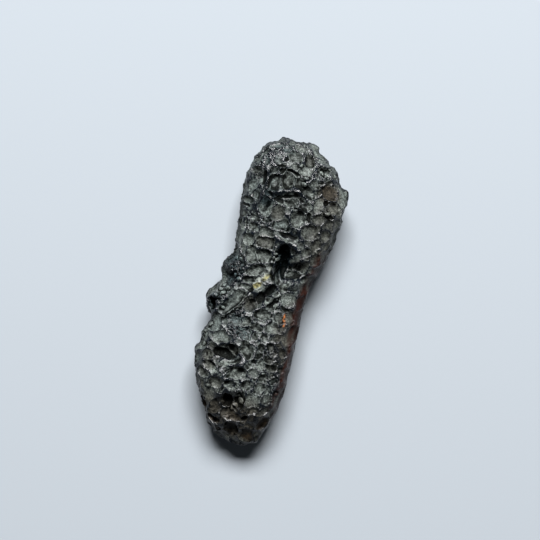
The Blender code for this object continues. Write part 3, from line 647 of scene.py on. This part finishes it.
class Skin:
    """The mesh being carved, with its points on the unpitted form in a tree."""

    def __init__(self, mesh):
        self.mesh = mesh
        coordinates = [v.co for v in mesh.vertices]
        self.form = BVHTree.FromPolygons(coordinates, [p.vertices for p in mesh.polygons])
        self.co = np.array(coordinates)
        points = [p + sum((by * noise.noise_vector(p / span) for by, span in WANDER), Vector()) for p in coordinates]
        self.tree = kdtree.KDTree(len(points))
        for i, p in enumerate(points):
            self.tree.insert(p, i)
        self.tree.balance()
        self.points = np.array(points)
        self.flank = self.smooth_flank()

    def smooth_flank(self):
        """How much each point belongs to the smooth flank, from 0 to 1. The flank's dark brown is a painted warm
        reflection in shade.
        """
        facing = np.clip((self.normals()[:, 0] - FLANK_FACING) / 0.25, 0, 1)
        y = self.co[:, 1]
        along = np.clip((FLANK_END + 2 - y) / 4, 0, 1) * np.clip((y + 29) / 4, 0, 1)
        return facing * along

    def normals(self):
        normals = np.empty(3 * len(self.co))
        self.mesh.vertex_normals.foreach_get("vector", normals)
        return normals.reshape(-1, 3)

    def above(self, x, y):
        """The form's point and normal seen from above at X and Y, or at its edge if there is none."""
        point, normal, _, _ = self.form.ray_cast(Vector((x, y, 50)), Vector((0, 0, -1)))
        if point is None:
            point, normal, _, _ = self.form.find_nearest(Vector((x, y, 6)))
        return point, normal

    def placed(self, rows):
        cups = []
        for x, y, half_length, half_width, turn, depth in rows:
            centre, normal = self.above(x, y)
            heading = Vector((math.cos(math.radians(turn)), math.sin(math.radians(turn)), 0))
            cups.append(Cup(centre, normal, heading, half_length, half_width, depth))
        return cups

    def scattered(self, first, seed, radii, tries, overlap, first_overlap, depth_share):
        """Cups over the whole stone that leave the first ones clear, broadest first."""
        draw = random.Random(seed)
        centres = np.array([c.centre for c in first])
        reach = np.array([first_overlap * (c.half_length + c.half_width) / 2 for c in first])
        share = np.full(len(first), first_overlap)
        cups = []
        for radius in radii:
            latitudes = np.arcsin([draw.uniform(-0.999, 0.999) for _ in range(tries)])
            spots = on_form(latitudes, np.array([draw.uniform(-math.pi, math.pi) for _ in range(tries)]))
            for spot in spots:
                stretch, deep = draw.uniform(0.8, 1.25), draw.uniform(*depth_share)
                heading = Vector([draw.gauss(0, 1) for _ in range(3)])
                square = draw.uniform(*SQUARER)
                centre, normal, _, _ = self.form.find_nearest(Vector(spot))
                apart = np.linalg.norm(centres - np.array(centre), axis=1)
                if (apart < reach + share * radius).any():
                    continue
                if normal.x > FLANK_FACING and centre.y < FLANK_END:
                    deep *= FLANK_DEPTH_SHARE
                if normal.z < 0:
                    deep *= 1 + (1 - BACK_DEPTH_SHARE) * normal.z
                deep *= 1 - EDGE_CALM * (1 - abs(normal.z))
                cups.append(Cup(centre, normal, heading, radius * stretch, radius / stretch, radius * deep, square))
                centres = np.vstack([centres, np.array(centre)])
                reach = np.append(reach, overlap * radius)
                share = np.append(share, overlap)
        return cups

    def bowl(self, cup):
        """The points in a cup, and for each how much of the cup's depth it has."""
        found = self.tree.find_range(cup.centre, 1.5 * max(cup.half_length, cup.half_width))
        near = np.array([i for _, i, _ in found], dtype=int)
        local = self.points[near] - np.array(cup.centre)
        along = np.abs(local @ np.array(cup.along) / cup.half_length)
        across = np.abs(local @ np.array(cup.across) / cup.half_width)
        return near, np.clip(1 - along**cup.square - across**cup.square, 0, None)

    def lower(self, depths):
        """Moves every point inward along its normal."""
        self.co = self.co - depths[:, None] * self.normals()
        self.mesh.vertices.foreach_set("co", self.co.astype(np.float32).ravel())
        self.mesh.update()

    def carve_troughs(self, troughs, gain):
        """Troughs and swells add up, and their edges are round."""
        depths = np.zeros(len(self.co))
        for trough in troughs:
            near, share = self.bowl(trough)
            depths[near] += gain * trough.depth * share**ROUND_EDGE
        self.lower(depths)

    def carve_cups(self, cups, wall, weight):
        """The deepest cup over each point counts, which leaves sharp rims. A low wall power makes the walls steep.

        Returns how deep in its cup each point is, as a share, and how far below the nearest rim in millimetres.
        """
        depths, second, shares = np.zeros((3, len(self.co)))
        for cup in cups:
            near, share = self.bowl(cup)
            depth = cup.depth * share**wall
            second[near] = np.maximum(second[near], np.minimum(depths[near], depth))
            depths[near] = np.maximum(depths[near], depth)
            shares[near] = np.maximum(shares[near], share)
        self.lower(depths * weight)
        return shares, depths - second

    def raise_beads(self, beads):
        """Returns how high on its bead each point is, as a share."""
        depths, shares = np.zeros((2, len(self.co)))
        for bead in beads:
            near, share = self.bowl(bead)
            depths[near] = np.minimum(depths[near], bead.depth * np.sqrt(share))
            shares[near] = np.maximum(shares[near], share)
        self.lower(depths)
        return shares

    def zones(self, rows, elsewhere=0.0):
        """How much each point belongs to the zones, from 0 to 1."""
        weights = np.full(len(self.co), elsewhere)
        for zone in self.placed(rows):
            near, share = self.bowl(zone)
            weights[near] = np.maximum(weights[near], zone.depth * np.minimum(1, ZONE_EDGE * share))
        return weights

    def crumple(self, folds, weight):
        """Fine folds with sharp crests."""
        depths = np.zeros(len(self.co))
        for span, depth in folds:
            depths += [depth * abs(noise.noise(Vector(p) / span)) for p in self.co]
        self.lower(depths * weight)

    def grain(self, size, height, weight):
        """Fine round grains that stand on the skin."""
        rise = np.array([max(0, 0.5 - noise.voronoi(Vector(p) / size)[0][0]) for p in self.co])
        self.lower(-height * rise * weight)

    def sunken(self, rounds):
        """How far each point lies below the mean of the skin round it. More rounds take in more of the skin."""
        ends = np.empty(2 * len(self.mesh.edges), dtype=int)
        self.mesh.edges.foreach_get("vertices", ends)
        one, other = ends.reshape(-1, 2).T
        count = np.bincount(ends, minlength=len(self.co))
        mean = self.co.copy()
        for _ in range(rounds):
            for axis in range(3):
                pulled = np.bincount(one, mean[other, axis], len(self.co))
                pulled += np.bincount(other, mean[one, axis], len(self.co))
                mean[:, axis] = (mean[:, axis] + pulled / count) / 2
        return np.sum((mean - self.co) * self.normals(), axis=1)

    def match_outline(self):
        """Brings the width back to the outline's along the whole stone."""
        x, y = self.co[:, 0], self.co[:, 1]
        widest = [x[np.abs(y - station) < OUTLINE_WINDOW] for station in STATIONS[1:-1]]
        left_now = np.array([band.min() for band in widest])
        right_now = np.array([band.max() for band in widest])
        nearby = [STATIONS[1:-1] + step for step in np.linspace(-OUTLINE_WINDOW, OUTLINE_WINDOW, 5)]
        left_aim = np.min([np.interp(places, STATIONS, LEFTS) for places in nearby], axis=0)
        right_aim = np.max([np.interp(places, STATIONS, RIGHTS) for places in nearby], axis=0)
        left = np.interp(y, STATIONS[1:-1], left_now)
        right = np.interp(y, STATIONS[1:-1], right_now)
        share = np.clip((x - left) / (right - left), 0, 1)
        even = np.array(OUTLINE_BLEND)
        left_step = np.convolve(np.pad(left_aim - left_now, 1, "edge"), even, "valid")
        right_step = np.convolve(np.pad(right_aim - right_now, 1, "edge"), even, "valid")
        self.co[:, 0] += (1 - share) * np.interp(y, STATIONS[1:-1], left_step)
        self.co[:, 0] += share * np.interp(y, STATIONS[1:-1], right_step)
        self.mesh.vertices.foreach_set("co", self.co.astype(np.float32).ravel())
        self.mesh.update()

    def store(self, name, values):
        layer = self.mesh.attributes.new(name, "FLOAT", "POINT")
        layer.data.foreach_set("value", values.astype(np.float32))


def fit_to_frame(mesh):
    """Wears the back's high spots flat, and sizes the stone to the CAD solid's box, in metres."""
    points = np.empty(3 * len(mesh.vertices))
    mesh.vertices.foreach_get("co", points)
    points = points.reshape(-1, 3)
    points[:, 2] = np.maximum(points[:, 2], points[:, 2].min() + WORN_DEPTH)
    low, high = points.min(axis=0), points.max(axis=0)
    points = np.array(LOW) + (points - low) * np.array(HIGH - LOW) / (high - low)
    mesh.vertices.foreach_set("co", points.astype(np.float32).ravel())
    mesh.update()


# Materials


def node(tree, kind, at, links=(), **settings):
    """Adds a node, sets its sockets and properties, and links outputs into its inputs."""
    made = tree.nodes.new(kind)
    made.location = at
    for name, value in settings.items():
        if hasattr(made, name):
            setattr(made, name, value)
        else:
            made.inputs[name.replace("_", " ").title()].default_value = value
    for socket, source in dict(links).items():
        tree.links.new(source, made.inputs[socket])
    return made


def attribute(tree, name, at):
    return node(tree, "ShaderNodeAttribute", at, attribute_name=name).outputs["Fac"]


def ramp(tree, value, low, high, at, to_low=0.0, to_high=1.0):
    """The value stretched from one range onto another, and held at its ends."""
    made = node(tree, "ShaderNodeMapRange", at, {"Value": value})
    made.inputs["From Min"].default_value, made.inputs["From Max"].default_value = low, high
    made.inputs["To Min"].default_value, made.inputs["To Max"].default_value = to_low, to_high
    return made.outputs[0]


def sum_of(tree, first, second, weight, at):
    """The first value plus the second times a weight."""
    made = node(tree, "ShaderNodeMath", at, {0: second, 2: first}, operation="MULTIPLY_ADD")
    made.inputs[1].default_value = weight
    return made.outputs[0]


def tinted(tree, colour, factor, tint, at, blend="MIX"):
    """The colour mixed with a fixed one where the factor is high."""
    made = node(tree, "ShaderNodeMix", at, {"Factor": factor, 6: colour}, data_type="RGBA", blend_type=blend)
    made.inputs[7].default_value = (*tint, 1)
    return made.outputs[2]


def noise_at(tree, place, size, detail, at):
    return node(tree, "ShaderNodeTexNoise", at, {"Vector": place}, Scale=1 / (size * MM), Detail=detail).outputs["Fac"]


def tektite_glass(glass):
    """Natural impact glass with a satin skin: etched dull and grey in its pits, glossier and blacker on its ridges.
    Its colour also carries painted shade, painted highlights and painted reflections.
    """
    material = bpy.data.materials.new("satin_black_natural_glass")
    material.use_nodes = True
    tree = material.node_tree
    shader = tree.nodes["Principled BSDF"]
    shader.inputs["IOR"].default_value = 1.5
    shader.inputs["Metallic"].default_value = 0.0

    place = node(tree, "ShaderNodeTexCoord", (-2200, 0)).outputs["Object"]
    floors = attribute(tree, "floors", (-2200, 300))
    glossy = attribute(tree, "glossy", (-2200, 600))
    broad_mottle = noise_at(tree, place, 3.0, 4.0, (-2000, 0))
    fine_mottle = noise_at(tree, place, 0.5, 3.0, (-2000, -200))

    crevice = attribute(tree, "crevice", (-2200, 800))
    basin_shade = attribute(tree, "basin_shade", (-2200, 950))

    etching = sum_of(tree, floors, broad_mottle, 0.7, (-1650, 300))
    etching = sum_of(tree, etching, fine_mottle, 0.6, (-1500, 300))
    # Painted shade and reflection: the glossy zones are darker here, and tinted blue below
    etching = sum_of(tree, etching, glossy, -0.3, (-1350, 300))
    crest = ramp(tree, crevice, -1.3, -0.3, (-1500, 500), 1.0, 0.0)
    etching = sum_of(tree, etching, crest, -0.7, (-1300, 200))
    grainy = attribute(tree, "grainy", (-2200, -700))
    # Painted highlights and shade on the grains: their centres are painted paler and the gaps between them darker
    cells = node(tree, "ShaderNodeTexVoronoi", (-2000, -600), {"Vector": place}, Scale=1 / (0.38 * MM)).outputs["Distance"]
    grains = ramp(tree, cells, 0.2, 0.55, (-1800, -600), 0.8, -0.4)
    grains = node(tree, "ShaderNodeMath", (-1650, -600), {0: grains, 1: grainy}, operation="MULTIPLY").outputs[0]
    etching = sum_of(tree, etching, grains, 1.0, (-1250, 100))
    dull = ramp(tree, etching, 0.85, 1.6, (-1200, 300))
    flank = attribute(tree, "flank", (-1500, 1300))
    # Painted shade: the colour darkens to near black in crevices, where shade falls
    crevice_shade = ramp(tree, crevice, 0.0, 0.9, (-1350, 700), 1.0, 0.05)
    # Painted shade: the colour darkens in deep basins and in the painted shade zones
    hollow_shade = ramp(tree, basin_shade, 0.6, 1.8, (-1350, 900), 1.0, 0.35)
    # Painted shade: the colour darkens round the sides
    sides = attribute(tree, "sides", (-1500, 1100))
    sides = ramp(tree, sides, 0.0, 1.0, (-1350, 1100), 1.0, 0.4)
    # Painted shade from crevices, basins and sides together: it darkens the colour and lowers the specular level
    shade_factor = node(tree, "ShaderNodeMath", (-1200, 700), {0: crevice_shade, 1: hollow_shade}, operation="MULTIPLY").outputs[0]
    shade_factor = node(tree, "ShaderNodeMath", (-1050, 700), {0: shade_factor, 1: sides}, operation="MULTIPLY").outputs[0]

    speckle = ramp(tree, fine_mottle, 0.4, 0.6, (-1200, 100), 0.75, 1.2)
    pores = noise_at(tree, place, 0.24, 3.0, (-2000, -400))
    # Random speckle with painted glints: fine dark dots and bright specks in the colour
    dots_and_glints = ramp(tree, pores, 0.38, 0.62, (-1200, -50), 0.3, 1.65)
    speckle = node(tree, "ShaderNodeMath", (-1100, 50), {0: speckle, 1: dots_and_glints}, operation="MULTIPLY").outputs[0]
    base = node(tree, "ShaderNodeMix", (-1000, 300), {"Factor": dull}, data_type="RGBA")
    base.inputs[6].default_value = (*glass.fresh, 1)
    base.inputs[7].default_value = (*glass.etched, 1)
    colour = node(
        tree, "ShaderNodeMix", (-925, 300), {6: base.outputs[2], 7: speckle}, Factor=1.0, data_type="RGBA", blend_type="MULTIPLY"
    ).outputs[2]
    # Brown patina with painted warm reflection and painted shade
    colour = tinted(tree, colour, attribute(tree, "brownish", (-1000, 500)), glass.patina_and_painted_light_tint, (-850, 300), "MULTIPLY")
    colour = tinted(tree, colour, glossy, glass.blue_sheen_and_shade_tint, (-700, 300), "MULTIPLY")
    # Painted warm reflection in shade on the right flank
    colour = tinted(tree, colour, flank, glass.flank, (-550, 300))
    colour = node(
        tree, "ShaderNodeMix", (-400, 300), {6: colour, 7: shade_factor}, Factor=1.0, data_type="RGBA", blend_type="MULTIPLY"
    ).outputs[2]
    gloss = ramp(tree, dull, 0.0, 1.0, (-700, 900), 0.5, 0.2)
    matt_flank = ramp(tree, flank, 0.0, 1.0, (-700, 1050), 1.0, 0.3)
    gloss = node(tree, "ShaderNodeMath", (-550, 800), {0: gloss, 1: matt_flank}, operation="MULTIPLY").outputs[0]
    gloss = node(tree, "ShaderNodeMath", (-400, 800), {0: gloss, 1: shade_factor}, operation="MULTIPLY").outputs[0]
    tree.links.new(gloss, shader.inputs["Specular IOR Level"])
    speck = ramp(tree, fine_mottle, 0.35, 0.6, (-1000, 0))
    for name, tint, at in (("pale", glass.pale, -400), ("tan", glass.tan, -250), ("orange", glass.orange, -100)):
        fleck = node(
            tree, "ShaderNodeMath", (at, 500), {0: attribute(tree, name, (at, 650)), 1: speck}, operation="MULTIPLY"
        )
        colour = tinted(tree, colour, fleck.outputs[0], tint, (at, 300))
    tree.links.new(colour, shader.inputs["Base Color"])

    rough = ramp(tree, dull, 0.0, 1.0, (-1000, -150), glass.ridge_roughness, glass.pit_roughness)
    tree.links.new(rough, shader.inputs["Roughness"])

    bead_height = node(tree, "ShaderNodeMath", (-800, -400), {0: cells, 1: grainy}, operation="MULTIPLY")
    beaded = node(tree, "ShaderNodeBump", (-600, -400), {"Height": bead_height.outputs[0]}, Distance=0.2 * MM)
    beaded.invert = True
    rims = ramp(tree, floors, 0.0, 1.0, (-1000, -950), 1.0, 0.5)
    pores = node(tree, "ShaderNodeMath", (-800, -800), {0: pores, 1: rims}, operation="MULTIPLY").outputs[0]
    bump = node(
        tree, "ShaderNodeBump", (-400, -400), {"Height": pores, "Normal": beaded.outputs["Normal"]}, Distance=0.13 * MM
    )
    tree.links.new(bump.outputs["Normal"], shader.inputs["Normal"])
    return material


def studio_floor(studio):
    """Matt painted board: even and pale."""
    material = bpy.data.materials.new("matt_pale_board")
    material.use_nodes = True
    shader = material.node_tree.nodes["Principled BSDF"]
    shader.inputs["Base Color"].default_value = (*studio.floor, 1)
    shader.inputs["Roughness"].default_value = 0.9
    return material


SKY_FADE = 0.5  # how high above the horizon the backdrop ends: 1 is straight up


# Settings


class TektiteShape(PropertyGroup):
    voxel: FloatProperty(name="Mesh size", description="Spacing of the mesh in millimetres", default=0.13, min=0.1)
    trough_gain: FloatProperty(name="Troughs", description="Depth of the troughs", default=1.0)
    cup_gain: FloatProperty(name="Cups", description="Depth of the cups", default=1.0)
    small_gain: FloatProperty(name="Small cups", description="Depth of the small cups", default=0.65)
    fold_gain: FloatProperty(name="Folds", description="Depth of the fine folds", default=1.0)
    grain_size: FloatProperty(name="Grain size", description="Spacing of the grains in millimetres", default=0.65)
    grain_height: FloatProperty(name="Grain height", description="Height of the grains in millimetres", default=0.7)
    triangles: IntProperty(name="Triangles", description="Most triangles of the stone", default=190000)


class TektiteGlass(PropertyGroup):
    fresh: FloatVectorProperty(
        name="Ridges", description="Colour of the glossy ridges", subtype="COLOR", default=linear("#080d13")[:3]
    )
    etched: FloatVectorProperty(
        name="Pits", description="Colour of the etched pit floors", subtype="COLOR", default=linear("#5f6561")[:3]
    )
    # Brown patina with painted warm reflection and shade: this tint also darkens the colour
    patina_and_painted_light_tint: FloatVectorProperty(
        name="Brown tint", description="Tint of the brownish zones", subtype="COLOR", default=linear("#846a56")[:3]
    )
    # Painted shade and bluish reflection in the glossy zones: this tint darkens the colour and makes it bluer
    blue_sheen_and_shade_tint: FloatVectorProperty(
        name="Cool tint", description="Tint of the glossy zones", subtype="COLOR", default=linear("#a0b3be")[:3]
    )
    tan: FloatVectorProperty(
        name="Tan flecks", description="Colour of the tan flecks", subtype="COLOR", default=linear("#858059")[:3]
    )
    pale: FloatVectorProperty(
        name="Pale flecks", description="Colour of the pale streaks", subtype="COLOR", default=linear("#888d87")[:3]
    )
    orange: FloatVectorProperty(
        name="Orange flecks", description="Colour of the orange flecks", subtype="COLOR", default=linear("#b06a38")[:3]
    )
    # Painted warm reflection in shade: the colour of the right flank
    flank: FloatVectorProperty(
        name="Flank", description="Colour of the brown flank", subtype="COLOR", default=linear("#24120d")[:3]
    )
    ridge_roughness: FloatProperty(name="Ridge roughness", description="Gloss of the ridges", default=0.22)
    pit_roughness: FloatProperty(name="Pit roughness", description="Dullness of the pits", default=0.55)


class StudioSettings(PropertyGroup):
    floor: FloatVectorProperty(
        name="Floor", description="Colour of the floor", subtype="COLOR", default=linear("#8a9096")[:3]
    )
    key_power: FloatProperty(name="Key light", description="Power in watts", subtype="POWER", default=29.5)
    sky: FloatProperty(name="Sky", description="Strength of the soft light from above", default=0.05)
    horizon: FloatProperty(name="Horizon", description="Strength of the pale backdrop all round", default=0.24)


# Operators


class OBJECT_OT_tektite(Operator):
    """Add the tektite in place of its CAD solid"""

    bl_idname = "object.tektite_add"
    bl_label = "Add Tektite"

    def execute(self, context):
        shape = context.scene.tektite_shape
        mesh = make_form(shape.voxel)
        skin = Skin(mesh)
        skin.carve_troughs(skin.placed(TROUGHS), shape.trough_gain)
        cups = skin.placed(UPPER_CUPS + WAIST_CUPS + LOWER_CUPS)
        clear = [cup for cup in cups if cup.half_width >= LEAST_KEPT_CLEAR]
        cups += skin.scattered(
            clear, SCATTER_SEED, SCATTER_RADII, SCATTER_TRIES, SCATTER_OVERLAP, PLACED_OVERLAP, CUP_DEPTH_SHARE
        )
        facing = np.abs(skin.normals()[:, 2])
        sides = 1 - np.clip((facing - SIDE_FACING[0]) / (SIDE_FACING[1] - SIDE_FACING[0]), 0, 1)
        hollow, below = skin.carve_cups(cups, CUP_WALL, shape.cup_gain)
        floors = np.clip(below / FLOOR_DEPTH, 0, 1)
        beads = skin.raise_beads(skin.placed(BEADS))
        small = skin.scattered(
            cups[:1], SMALL_SEED, SMALL_RADII, SMALL_TRIES, SMALL_OVERLAP, 0.5, SMALL_DEPTH_SHARE
        )
        calm = np.maximum(1 - CUP_CALM * np.sqrt(hollow), 0.8 * sides) * (1 - FLANK_CALM * skin.flank)
        _, below = skin.carve_cups(small, SMALL_WALL, shape.small_gain * calm)
        floors = np.maximum(floors, 0.6 * np.clip(below / SMALL_FLOOR_DEPTH, 0, 1))
        glossy = skin.zones(GLOSSY_AND_SHADED)
        grainy = skin.zones(GRAINY, GRAIN_ELSEWHERE)
        skin.crumple(FOLDS, shape.fold_gain * calm * (1 - GLOSSY_CALM * glossy))
        skin.grain(shape.grain_size, shape.grain_height, grainy * calm)
        skin.match_outline()
        # The beads are painted pale as a highlight, through the floors' grey
        skin.store("floors", np.maximum(floors, BEAD_HIGHLIGHT * np.clip(2 * beads, 0, 1)))
        # Painted shade round the sides
        skin.store("sides", sides)
        skin.store("crevice", skin.sunken(CREVICE_ROUNDS) / CREVICE_DEPTH)
        skin.store("basin_shade", skin.sunken(BASIN_ROUNDS) / BASIN_DEPTH + skin.zones(PAINTED_SHADE_ZONES))
        # The flank's colour is a painted warm reflection in shade
        skin.store("flank", np.maximum(skin.flank, skin.zones(FLANK_WARM_REFLECTION_AND_SHADE)))
        skin.store("grainy", grainy)
        # The glossy zones carry painted shade and a painted bluish reflection in the colour
        skin.store("glossy", glossy)
        # Brown patina with painted warm reflection and shade
        skin.store("brownish", skin.zones(BROWN_PATINA_AND_PAINTED_LIGHT))
        skin.store("tan", skin.zones(TAN_FLECKS))
        skin.store("pale", skin.zones(PALE_FLECKS))
        skin.store("orange", skin.zones(ORANGE_FLECKS))
        fit_to_frame(mesh)
        stone = in_scene("stone", mesh)
        decimate = stone.modifiers.new("fewer_faces", "DECIMATE")
        decimate.ratio = shape.triangles / (2 * len(mesh.polygons))
        mesh = finished(stone)
        mesh.name = "tektite_stone"
        for polygon in mesh.polygons:
            polygon.use_smooth = True
        mesh.materials.clear()
        mesh.materials.append(tektite_glass(context.scene.tektite_glass))
        tektite = in_scene("tektite_stone", mesh)
        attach(tektite, "root")
        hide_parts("tektite")
        return {"FINISHED"}


class OBJECT_OT_studio(Operator):
    """Add the floor, the lights and the camera"""

    bl_idname = "object.tektite_studio_add"
    bl_label = "Add Studio"

    def execute(self, context):
        studio = context.scene.tektite_studio
        bm = bmesh.new()
        bmesh.ops.create_grid(bm, x_segments=1, y_segments=1, size=1.5)
        mesh = bpy.data.meshes.new("floor")
        bm.to_mesh(mesh)
        bm.free()
        mesh.materials.append(studio_floor(studio))
        in_scene("floor", mesh)

        world = bpy.data.worlds.new("studio_sky")
        world.use_nodes = True
        tree = world.node_tree
        sky = tree.nodes["Background"]
        sky.inputs["Color"].default_value = linear("#dfe8f0")
        direction = node(tree, "ShaderNodeTexCoord", (-800, 0)).outputs["Generated"]
        height = node(tree, "ShaderNodeSeparateXYZ", (-600, 0), {"Vector": direction}).outputs["Z"]
        strength = ramp(tree, height, 0.0, SKY_FADE, (-400, 0), studio.horizon, studio.sky)
        tree.links.new(strength, sky.inputs["Strength"])
        context.scene.world = world
        context.scene.view_settings.view_transform = "Standard"

        lamp = bpy.data.lights.new("key", "AREA")
        lamp.shape = "RECTANGLE"
        lamp.size, lamp.size_y = 0.5, 0.35
        lamp.energy = studio.key_power
        key = bpy.data.objects.new("key", lamp)
        context.scene.collection.objects.link(key)
        key.location = (-0.12, 0.58, 0.74)
        key.rotation_euler = (Vector((0, 0, 0.007)) - key.location).to_track_quat("-Z", "Y").to_euler()

        lens = bpy.data.cameras.new("camera")
        lens.lens = 117
        lens.sensor_width = 36
        camera = bpy.data.objects.new("camera", lens)
        context.scene.collection.objects.link(camera)
        roll = math.radians(15.5)
        camera.rotation_euler = (0, 0, roll)
        target = Matrix.Rotation(roll, 3, "Z") @ Vector(((270 - 265) * 0.0002, (292 - 270) * 0.0002, 0))
        camera.location = (target.x, target.y, 0.36)
        context.scene.camera = camera
        return {"FINISHED"}


class VIEW3D_PT_tektite(Panel):
    """Buttons that add the stone and the studio"""

    bl_label = "Tektite"
    bl_space_type = "VIEW_3D"
    bl_region_type = "UI"
    bl_category = "Tektite"

    def draw(self, context):
        layout = self.layout
        layout.operator(OBJECT_OT_tektite.bl_idname)
        layout.operator(OBJECT_OT_studio.bl_idname)


CLASSES = (TektiteShape, TektiteGlass, StudioSettings, OBJECT_OT_tektite, OBJECT_OT_studio, VIEW3D_PT_tektite)


def register():
    for cls in CLASSES:
        bpy.utils.register_class(cls)
    bpy.types.Scene.tektite_shape = PointerProperty(type=TektiteShape)
    bpy.types.Scene.tektite_glass = PointerProperty(type=TektiteGlass)
    bpy.types.Scene.tektite_studio = PointerProperty(type=StudioSettings)


def unregister():
    del bpy.types.Scene.tektite_shape
    del bpy.types.Scene.tektite_glass
    del bpy.types.Scene.tektite_studio
    for cls in reversed(CLASSES):
        bpy.utils.unregister_class(cls)


def main():
    register()
    bpy.ops.object.tektite_add()
    bpy.ops.object.tektite_studio_add()


if __name__ == "__main__":
    main()
